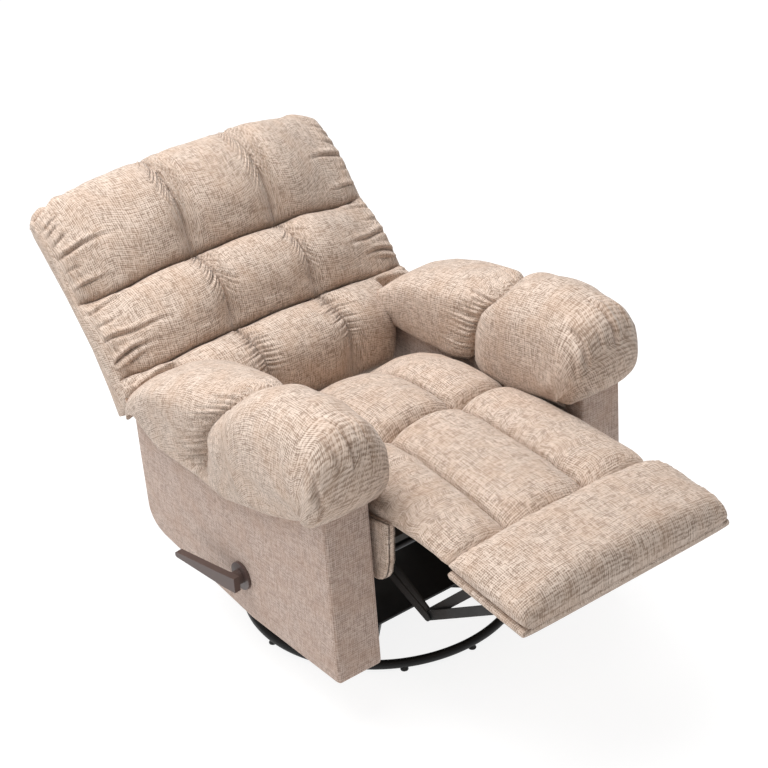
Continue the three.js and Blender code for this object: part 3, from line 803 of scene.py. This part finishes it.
def arm_outline():
    """Side outline of the arm panel: flat front, low straight bottom that rises to the rear."""
    pts = arc_points((ARM_FRONT + 0.008, ARM_LOW + 0.008), 0.008, 180, 270, 4)
    pts += [(y_at(-0.062), ARM_LOW), (y_at(0.296), 0.198)]
    pts += arc_points((ARM_REAR - 0.054, 0.262), 0.062, -75, -4, 7)
    pts += [(ARM_REAR + 0.012, 0.400), (ARM_REAR + 0.014, 0.560), (y_at(-0.30), 0.575), (y_at(-0.345), 0.600), (ARM_FRONT + 0.004, 0.600)]
    return pts


def build_arms():
    for side, sign in (("left", 1), ("right", -1)):
        panel = rounded_slab(f"arm_cover_{side}", arm_outline(), sign * ARM_IN, sign * ARM_OUT, 0.010)
        finish_piece(panel, "body", MAT["panel"], [f"arm_panel_{side}"])
        puffs = loft(f"arm_puffs_{side}", pillow(sign))
        finish_piece(puffs, "body", MAT["cushion"], [f"arm_pillow_{side}"])


# ---------------------------------------------------------------- wrapped boards
def build_boards():
    for side, sign in (("left", 1), ("right", -1)):
        outline = [(y_at(-0.426), 0.520), (y_at(-0.418), 0.420)]
        outline += arc_points((y_at(-0.362), 0.404), 0.050, 190, 262, 6)
        outline += [(y_at(0.160), 0.356), (y_at(0.160), 0.420), (y_at(-0.20), 0.440), (y_at(-0.34), 0.505)]
        border = rounded_slab(f"seat_border_{side}", outline, sign * 0.262, sign * 0.287, 0.008)
        finish_piece(border, "seat", MAT["cushion"], [f"seat_rail_{side}"])
    a, z = superloop(160, BOARD_HALF + 0.002, 0.0125, 5.0)
    rings = []
    reach = 0.2288
    front_end = [-reach, 0.0005 - reach, 0.0025 - reach, 0.0065 - reach]
    for y in np.concatenate([front_end, np.linspace(-0.215, -0.015, 16), [-0.004, 0.0, 0.002, 0.0025]]):
        edge = min(y + reach, 0.0025 - y)
        pinch = math.sqrt(max(0.0, 1 - max(0.0, 1 - edge / 0.007) ** 2))
        rings.append(board_point(a - np.sign(a) * 0.004 * (1 - pinch), y, 0.008 + z * (0.35 + 0.65 * pinch)))
    board = loft("footrest_board_cover", rings)
    finish_piece(board, "footrest", MAT["cushion"], ["footrest_board"])
    pad = footrest_pad()
    finish_piece(pad, "footrest", MAT["cushion"], ["footrest_pad"])


def build_dust_cloth():
    """Black lining cloth stretched across the front of the box, pulled in slightly between its staples."""
    low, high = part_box("dust_panel")
    xs, zs = np.linspace(low.x, high.x, 91), np.linspace(low.z, high.z, 29)
    skins = []
    for skin in (-1, 1):
        for z in zs:
            for x in xs:
                t, v = (x - low.x) / (high.x - low.x), (z - low.z) / (high.z - low.z)
                belly = 0.0016 * math.sin(math.pi * v) * math.cos(2 * math.pi * 9 * t) * (0.4 + 0.6 * abs(2 * v - 1))
                y = (low.y + high.y) / 2 + belly + skin * 0.0004
                skins.append((x, y, z - 0.0012 * math.cos(2 * math.pi * 9 * t) * (1 - v)))
    cols, rows = len(xs), len(zs)
    faces = []
    for skin in (0, 1):
        base = skin * cols * rows
        for i in range(rows - 1):
            for j in range(cols - 1):
                quad = (base + i * cols + j, base + i * cols + j + 1, base + (i + 1) * cols + j + 1, base + (i + 1) * cols + j)
                faces.append(quad if skin == 0 else quad[::-1])
    rim = [(0, j) for j in range(cols)] + [(i, cols - 1) for i in range(1, rows)]
    rim += [(rows - 1, j) for j in range(cols - 2, -1, -1)] + [(i, 0) for i in range(rows - 2, 0, -1)]
    for (i, j), (k, m) in zip(rim, rim[1:] + rim[:1]):
        a, b = i * cols + j, k * cols + m
        faces.append((b, a, a + cols * rows, b + cols * rows))
    uvs = [(v[0], v[2]) for v in skins]
    cloth = make_outward(new_object("dust_cloth", skins, faces, uvs))
    finish_piece(cloth, "seat", MAT["lining"], ["dust_panel"])


def lathe(place, profile, axis, sides=24):
    """Verts and faces of a turned shape: profile rows are (distance along the axis, radius)."""
    along = Vector(axis).normalized()
    across = along.orthogonal().normalized()
    third = along.cross(across)
    verts, faces = [], []
    for height, radius in profile:
        for k in range(sides):
            t = 2 * math.pi * k / sides
            verts.append(Vector(place) + along * height + (across * math.cos(t) + third * math.sin(t)) * radius)
    for i in range(len(profile) - 1):
        for k in range(sides):
            m = (k + 1) % sides
            faces.append((i * sides + k, i * sides + m, (i + 1) * sides + m, (i + 1) * sides + k))
    faces += [tuple(reversed(range(sides))), tuple(range(len(verts) - sides, len(verts)))]
    return verts, faces


def turned_set(name, places, profile, axis, sides=24):
    """One object made of the same turned shape at each place."""
    verts, faces = [], []
    for place in places:
        v, f = lathe(place, profile, axis, sides)
        faces += [tuple(k + len(verts) for k in face) for face in f]
        verts += v
    return new_object(name, verts, faces)


# ---------------------------------------------------------------- metal and plastic
FOOT_PROFILE = ((0.0, 0.0082), (0.0008, 0.0092), (0.0028, 0.0096), (0.0046, 0.0088), (0.0060, 0.0068),
                (0.0085, 0.0058), (0.0120, 0.0056))


def build_feet():
    names = [name for name in NODES if name.startswith("glide_foot_")]
    places = []
    for name in names:
        low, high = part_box(name)
        places.append(((low.x + high.x) / 2, (low.y + high.y) / 2, low.z))
    feet = turned_set("glide_feet", places, FOOT_PROFILE, (0, 0, 1))
    finish_piece(feet, "base", MAT["foot"], names)


def dress_frame():
    by_slot = {"black_steel": "black", "base_steel": "black", "bare_steel": "steel", "foot_plastic": "foot",
               "lever_plastic": "plastic", "seat_timber": "timber", "dust_cloth": "foot"}
    slots = {s["node"]: s["material_slot"] for s in frame["record"]["subparts"]}
    for name, obj in NODES.items():
        key = by_slot.get(slots[name])
        if key is None or obj.hide_render:
            continue
        obj.data.materials.clear()
        obj.data.materials.append(MAT[key])
        bevel = obj.modifiers.new("edge", "BEVEL")
        bevel.width = 0.0008
        bevel.segments = 2
        bevel.limit_method = "ANGLE"
        bevel.angle_limit = math.radians(40)


def build_ring():
    radius = (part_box("base_ring")[1].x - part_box("base_ring")[0].x) / 2 - 0.011
    turns = np.linspace(0, 2 * math.pi, 160, endpoint=False)
    sides = np.linspace(0, 2 * math.pi, 20, endpoint=False)
    verts = [((radius + 0.011 * math.cos(s)) * math.cos(t), BASE_Y + (radius + 0.011 * math.cos(s)) * math.sin(t),
              0.019 + 0.011 * math.sin(s)) for t in turns for s in sides]
    n, m = len(turns), len(sides)
    faces = [(i * m + j, ((i + 1) % n) * m + j, ((i + 1) % n) * m + (j + 1) % m, i * m + (j + 1) % m)
             for i in range(n) for j in range(m)]
    ring = make_outward(new_object("swivel_ring", verts, faces))
    finish_piece(ring, "base", MAT["black"], ["base_ring"])


# ---------------------------------------------------------------- studio
def build_studio():
    size = 14.0
    floor = new_object("floor", [(-size, -size, 0), (size, -size, 0), (size, size, 0), (-size, size, 0)], [(0, 1, 2, 3)])
    material, tree, bsdf = shader("studio_floor")
    bsdf.inputs["Base Color"].default_value = (0.24, 0.24, 0.24, 1)
    bsdf.inputs["Roughness"].default_value = 0.9
    bsdf.inputs["Emission Color"].default_value = (1, 1, 1, 1)
    bsdf.inputs["Emission Strength"].default_value = 0.86
    floor.data.materials.append(material)
    world = bpy.data.worlds.new("studio")
    world.use_nodes = True
    world.node_tree.nodes["Background"].inputs[0].default_value = (1, 1, 1, 1)
    world.node_tree.nodes["Background"].inputs[1].default_value = 0.33
    bpy.context.scene.world = world

    def lamp(name, place, target, power, width):
        data = bpy.data.lights.new(name, "AREA")
        data.energy = power
        data.size = width
        obj = bpy.data.objects.new(name, data)
        obj.location = place
        obj.rotation_mode = "QUATERNION"
        obj.rotation_quaternion = (Vector(target) - Vector(place)).to_track_quat("-Z", "Y")
        bpy.context.scene.collection.objects.link(obj)

    lamp("key", (-0.8, 1.0, 4.7), (0, -0.1, 0.5), 310, 4.2)
    lamp("side", (-4.2, 0.2, 2.3), (0, 0, 0.4), 34, 2.0)
    bpy.context.scene.view_settings.view_transform = "Standard"


def build_camera():
    """Camera at the viewing angle of the chair's usual picture: from its front right, 30 degrees up."""
    az, el, roll = (math.radians(v) for v in (-36.16, 29.99, -4.02))
    back = Vector((math.sin(az) * math.cos(el), -math.cos(az) * math.cos(el), math.sin(el)))
    right = Vector((math.cos(az), math.sin(az), 0))
    up = back.cross(right)
    r2 = right * math.cos(roll) + up * math.sin(roll)
    u2 = -right * math.sin(roll) + up * math.cos(roll)
    data = bpy.data.cameras.new("camera")
    data.sensor_width = 36.0
    data.lens = 94.94
    cam = bpy.data.objects.new("camera", data)
    cam.matrix_world = Matrix((
        (r2.x, u2.x, back.x, -2.3316), (r2.y, u2.y, back.y, BASE_Y - 3.2486), (r2.z, u2.z, back.z, 2.8706), (0, 0, 0, 1)))
    bpy.context.scene.collection.objects.link(cam)
    bpy.context.scene.camera = cam


build_camera()
build_back()
build_seat()
build_arms()
build_boards()
build_dust_cloth()
build_feet()
build_ring()
dress_frame()
build_studio()
